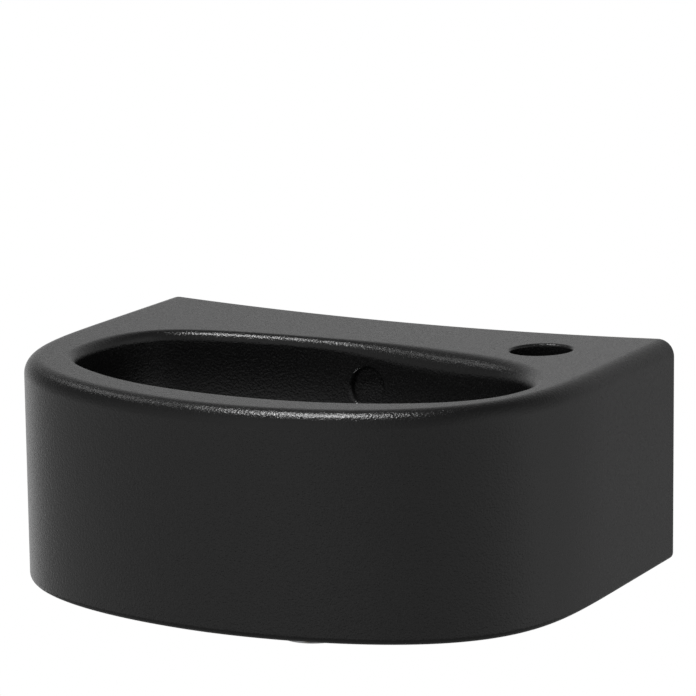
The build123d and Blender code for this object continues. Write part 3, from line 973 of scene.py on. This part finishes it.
FL_PATH = [(28.75 - 0.01, 0.0)] + arc((28.75, 3.0), 3.0, -90, 0, 8)[1:] + [(31.75, 4.9)] \
    + arc((31.25, 5.0), 0.5, 0, 90, 4)[1:] + [(28.9, 5.5)] + [(28.6, 5.42), (28.35, 5.25)] \
    + [(28.35 + (21.25 - 28.35) * t, 5.25 + (0.72 - 5.25) * t) for t in np.linspace(0.08, 1, 7)] \
    + [(20.9, 0.45), (20.6, 0.12)] + [(20.6 + (17.7 - 20.6) * t, 0.12 + (-3.0 - 0.12) * t) for t in (0.3, 0.6, 0.9)] \
    + [(17.55, -3.1), (17.5, -3.5), (17.5, -10.0), (17.5, -20.0), (17.5, -32.0), (17.5, -45.0), (17.5, -60.0)]


def spring_mesh(r_mean=3.75, wire=0.36, f0=-46.0, f1=-25.4, turns=7.5):
    """Closed and ground coil: the pitch closes up over the first and last turn."""
    n, m = 900, 14
    t = np.linspace(0, turns, n)
    rate = np.clip(np.minimum(t, turns - t) / 1.0, 0.26, 1.0)
    s = np.concatenate([[0], np.cumsum((rate[1:] + rate[:-1]) / 2 * np.diff(t))])
    z = f0 + wire + (f1 - f0 - 2 * wire) * s / s[-1]
    a = 2 * math.pi * t
    c = np.column_stack([AX + r_mean * np.cos(a), AY + r_mean * np.sin(a), zf(z)])
    tan = np.gradient(c, axis=0)
    tan /= np.linalg.norm(tan, axis=1)[:, None]
    rad = np.column_stack([np.cos(a), np.sin(a), np.zeros(n)])
    bi = np.cross(tan, rad)
    b = Build()
    ph = 2 * math.pi * np.arange(m) / m
    rows = [c[i] + wire * (np.cos(ph)[:, None] * rad[i] + np.sin(ph)[:, None] * bi[i]) for i in range(n)]
    b.strip(rows, closed=True)
    b.f.append(tuple(range(m)))
    b.f.append(tuple(range((n - 1) * m, n * m)))
    return b.mesh("plunger_spring", weld=0.0005)


def waste_pieces():
    put(body_mesh(), "waste_tail", CHROME, "basin_set", ["waste_body"], smooth=38)
    put(lathe("dome_cap", dome_path(), n=192, closed=False), "dome_cap", CHROME, "plug", ["plug_cap"])
    put(lathe("thin_washer", rounded([(21.2, -1.5, 0.3), (30.75, -1.5, 0.5), (30.75, 0.0, 0.5), (21.2, 0.0, 0.3)])),
        "thin_washer", PE, "basin_set", ["flange_gasket"])
    put(lathe("dished_washer", rounded([(21.15, -45.0, 0.2), (28.6, -45.0, 0.6), (29.6, -44.4, 0.5), (33.75, -39.0, 0.5),
                                        (33.75, -38.3, 0.2), (33.45, -38.0, 0.2), (32.2, -38.0, 0.5), (26.0, -41.0, 2.0),
                                        (21.15, -41.4, 0.2)])),
        "dished_washer", RUBBER_W, "basin_set", ["conical_washer"])
    put(lathe("round_backnut", rounded([(20.27, -50.5, 0.15), (28.6, -50.5, 0.25), (29.25, -49.9, 0.2),
                                        (29.25, -48.4, 0.15), (28.75, -47.75, 0.3), (29.25, -47.1, 0.15),
                                        (29.25, -45.6, 0.2), (28.6, -45.0, 0.25), (20.27, -45.0, 0.15)])),
        "round_backnut", BRASS, "basin_set", ["backnut"])
    sp = put(spring_mesh(), "plunger_spring", WIRE, None, [])
    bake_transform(sp)
    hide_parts("cartridge_spring")


def cad_materials():
    for name, m in (("plug_seal", RUBBER_B), ("seal_carrier", ABS), ("plug_stud", BRASS), ("plunger_rod", BRASS),
                    ("ratchet_rotor", ACETAL), ("rotor_clip", WIRE), ("cartridge_barrel", BRASS), ("rod_guide", ACETAL),
                    ("rod_seal", RUBBER_B), ("end_cap", BRASS), ("barrel_locknut", BRASS), ("cartridge_spring", WIRE),
                    ("basin", GLAZE), ("waste_body", CHROME), ("flange_gasket", PE), ("conical_washer", RUBBER_W),
                    ("backnut", BRASS), ("plug_cap", CHROME)):
        o = frame["nodes"][name]
        for sl in o.material_slots:
            sl.material = m


# ----------------------------------------------------------------------------- floor, lights, camera
def floor():
    b = Build()
    n = 64
    a = 2 * math.pi * np.arange(n) / n
    rows = [np.column_stack([r * np.cos(a), -500.0 + r * np.sin(a), np.full(n, -2700.0)]) for r in (5800.0, 3000.0, 1000.0)]
    b.strip(rows, closed=True)
    k = b.n - n
    b.f.append(tuple(range(k, k + n)))
    bm = bmesh.new()
    vs = [bm.verts.new(p * MM) for p in np.concatenate(b.v)]
    for f in b.f:
        bm.faces.new([vs[i] for i in f])
    bmesh.ops.recalc_face_normals(bm, faces=bm.faces)
    if bm.faces[0].normal.z < 0:
        bmesh.ops.reverse_faces(bm, faces=bm.faces)
    me = bpy.data.meshes.new("floor")
    bm.to_mesh(me)
    bm.free()
    o = bpy.data.objects.new("floor", me)
    bpy.context.scene.collection.objects.link(o)
    m = Mat("floor_pale", (0.80, 0.80, 0.80), 0.9)
    m.tint(m.noise(0.6, 2.0), (0.79, 0.79, 0.79), (0.81, 0.81, 0.81))
    me.materials.append(m.m)


def area(name, loc, target, size, strength, size_y=None, spread=180.0):
    li = bpy.data.lights.new(name, "AREA")
    li.shape = "RECTANGLE" if size_y else "SQUARE"
    li.size = size
    if size_y:
        li.size_y = size_y
    li.energy = strength
    li.spread = math.radians(spread)
    o = bpy.data.objects.new(name, li)
    o.location = loc
    o.rotation_mode = "QUATERNION"
    o.rotation_quaternion = (Vector(loc) - Vector(target)).to_track_quat("Z", "Y")
    bpy.context.scene.collection.objects.link(o)
    return o


# soft glows of the studio round the object: (elevation, azimuth, tightness, radiance), degrees from +X
GLOWS = [(16.0, 117.0, 9.0, 0.36), (-14.0, 146.0, 12.0, 0.66), (-20.0, 200.0, 6.0, 0.37), (-20.0, 270.0, 5.0, 0.16),
         (-52.0, 270.0, 8.0, 0.55), (-15.0, 330.0, 6.0, 0.28), (-18.0, 28.0, 7.0, 0.46), (-14.0, 92.0, 14.0, 0.12), (14.0, 78.0, 12.0, 0.24),
         (20.0, 0.0, 6.0, 0.36), (28.0, 258.0, 6.0, 0.40), (-70.0, 250.0, 4.0, 0.95)]
GLOW_BASE = 0.06


def world():
    """White to the camera. To everything else, a dim room with a few broad soft glows in it."""
    w = bpy.data.worlds.new("studio")
    bpy.context.scene.world = w
    w.use_nodes = True
    t = w.node_tree
    t.nodes.clear()

    def math_node(op, a, b=None):
        n = t.nodes.new("ShaderNodeMath")
        n.operation = op
        for k, v in ((0, a), (1, b)):
            if v is None:
                continue
            if isinstance(v, float):
                n.inputs[k].default_value = v
            else:
                t.links.new(v, n.inputs[k])
        return n.outputs[0]
    out = t.nodes.new("ShaderNodeOutputWorld")
    mix = t.nodes.new("ShaderNodeMixShader")
    white = t.nodes.new("ShaderNodeBackground")
    soft = t.nodes.new("ShaderNodeBackground")
    co = t.nodes.new("ShaderNodeTexCoord").outputs["Generated"]
    total = None
    for el, az, k, rad in GLOWS:
        e, a = math.radians(el), math.radians(az)
        d = t.nodes.new("ShaderNodeVectorMath")
        d.operation = "DOT_PRODUCT"
        d.inputs[1].default_value = (math.cos(e) * math.cos(a), math.cos(e) * math.sin(a), math.sin(e))
        t.links.new(co, d.inputs[0])
        g = math_node("MULTIPLY", math_node("EXPONENT", math_node("MULTIPLY", math_node("SUBTRACT", d.outputs["Value"], 1.0), k)), rad)
        total = math_node("ADD", g, GLOW_BASE if total is None else total)
    t.links.new(total, soft.inputs["Strength"])
    lp = t.nodes.new("ShaderNodeLightPath")
    t.links.new(lp.outputs["Is Camera Ray"], mix.inputs[0])
    t.links.new(soft.outputs[0], mix.inputs[1])
    t.links.new(white.outputs[0], mix.inputs[2])
    t.links.new(mix.outputs[0], out.inputs[0])
    for n in (white, soft):
        n.inputs["Color"].default_value = (1, 1, 1, 1)


def lights():
    world()
    # two overhead softboxes from the left, which draw the highlights on the rounded edges
    area("overhead", (-0.305, -0.375, 1.52), (0.0, -0.13, 0.0), 0.30, 13.0)
    area("side", (-1.12, 0.01, 1.13), (0.0, -0.13, 0.0), 0.3, 1.1)


def camera():
    right = Vector((0.88850, 0.45872, -0.01195))
    up = Vector((-0.08440, 0.18897, 0.97835))
    back = Vector((0.45105, -0.86825, 0.20662))
    cam = bpy.data.cameras.new("camera")
    o = bpy.data.objects.new("camera", cam)
    bpy.context.scene.collection.objects.link(o)
    m = Matrix((right, up, back)).transposed().to_4x4()
    m.translation = Vector((0.9940, -1.9969, 0.4813))
    o.matrix_world = m
    cam.sensor_width = 36.0
    cam.lens = 201.8
    cam.shift_x, cam.shift_y = 0.0009, 0.0266
    cam.clip_start, cam.clip_end = 0.05, 40.0
    bpy.context.scene.camera = o


basin_piece()
waste_pieces()
cad_materials()
floor()
lights()
camera()
sc = bpy.context.scene
sc.view_settings.view_transform = "Standard"
sc.view_settings.look = "None"
